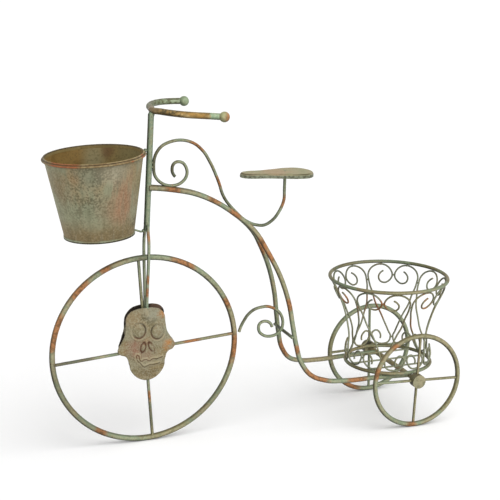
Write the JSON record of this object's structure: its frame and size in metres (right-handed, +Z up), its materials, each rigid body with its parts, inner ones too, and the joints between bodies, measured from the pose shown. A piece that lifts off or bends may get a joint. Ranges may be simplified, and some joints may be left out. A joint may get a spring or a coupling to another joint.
{
  "type": "bicycle planter",
  "caption": "Garden planter shaped like a tricycle of bent steel rod, with a tin pail in front, a wire basket behind, wheels that turn and skull plates over the front hub.",
  "frame": {"origin": "on the ground, under the middle of the planter's bounding box", "axes": "+X from the front wheel to the rear wheels, +Y to the far side, +Z up"},
  "size_m": [0.6856, 0.203, 0.5415],
  "materials": {
    "rod_patina": "aged verdigris green paint over steel rod, worn to brown",
    "wheel_patina": "aged olive green paint with rust orange patches",
    "bar_patina": "worn brown and ochre paint with green left at the ends",
    "sheet_patina": "mottled olive and tan paint on pressed sheet",
    "pail_patina": "grey green wash over tin, streaked salmon and rust",
    "pail_bead": "rubbed tan and brown bead",
    "wire_patina": "thin verdigris paint over dark wire",
    "ball_patina": "ochre and green painted ball"
  },
  "bodies": {
    "frame": {"backbone_rod_far": "rod_patina", "backbone_rod_near": "rod_patina", "basket_bottom_ring": "rod_patina", "basket_floor_wires": "wire_patina", "basket_scroll_01": "wire_patina", "basket_scroll_02": "wire_patina", "basket_scroll_03": "wire_patina", "basket_scroll_04": "wire_patina", "basket_scroll_05": "wire_patina", "basket_scroll_06": "wire_patina", "basket_scroll_07": "wire_patina", "basket_scroll_08": "wire_patina", "basket_scroll_09": "wire_patina", "basket_scroll_10": "wire_patina", "basket_scroll_11": "wire_patina", "basket_scroll_12": "wire_patina", "basket_top_ring": "rod_patina", "cross_bar": "rod_patina", "fork_leg_far": "rod_patina", "fork_leg_near": "rod_patina", "front_axle": "wheel_patina", "handlebar": "bar_patina", "handlebar_ball_far": "ball_patina", "handlebar_ball_near": "ball_patina", "hub_cap_far": "sheet_patina", "hub_cap_near": "sheet_patina", "lower_scroll": "rod_patina", "pot_floor": "pail_patina", "pot_foot_band": "pail_patina", "pot_lower_bracket": "wire_patina", "pot_rim": "pail_bead", "pot_rim_lug": "rod_patina", "pot_wall": "pail_patina", "rear_axle": "wheel_patina", "saddle": "sheet_patina", "skull_plate_far": "sheet_patina", "skull_plate_near": "sheet_patina", "steering_stem": "rod_patina", "top_scroll": "rod_patina"},
    "front_wheel": {"front_wheel_rim": "wheel_patina", "front_wheel_spokes": "wheel_patina", "front_wheel_hub": "wheel_patina"},
    "rear_wheel_near": {"rear_wheel_rim_near": "wheel_patina", "rear_wheel_spokes_near": "wheel_patina", "rear_wheel_hub_near": "wheel_patina"},
    "rear_wheel_far": {"rear_wheel_rim_far": "wheel_patina", "rear_wheel_spokes_far": "wheel_patina", "rear_wheel_hub_far": "wheel_patina"}
  },
  "joints": [
    {"name": "front_wheel_spin", "type": "hinge", "parent": "frame", "child": "front_wheel", "pos_m": [-0.18467, 0, 0.1545], "axis": [0, 1, 0], "continuous": true},
    {"name": "rear_wheel_near_spin", "type": "hinge", "parent": "frame", "child": "rear_wheel_near", "pos_m": [0.25533, -0.089, 0.0805], "axis": [0, 1, 0], "continuous": true},
    {"name": "rear_wheel_far_spin", "type": "hinge", "parent": "frame", "child": "rear_wheel_far", "pos_m": [0.25533, 0.089, 0.0805], "axis": [0, 1, 0], "continuous": true}
  ]
}
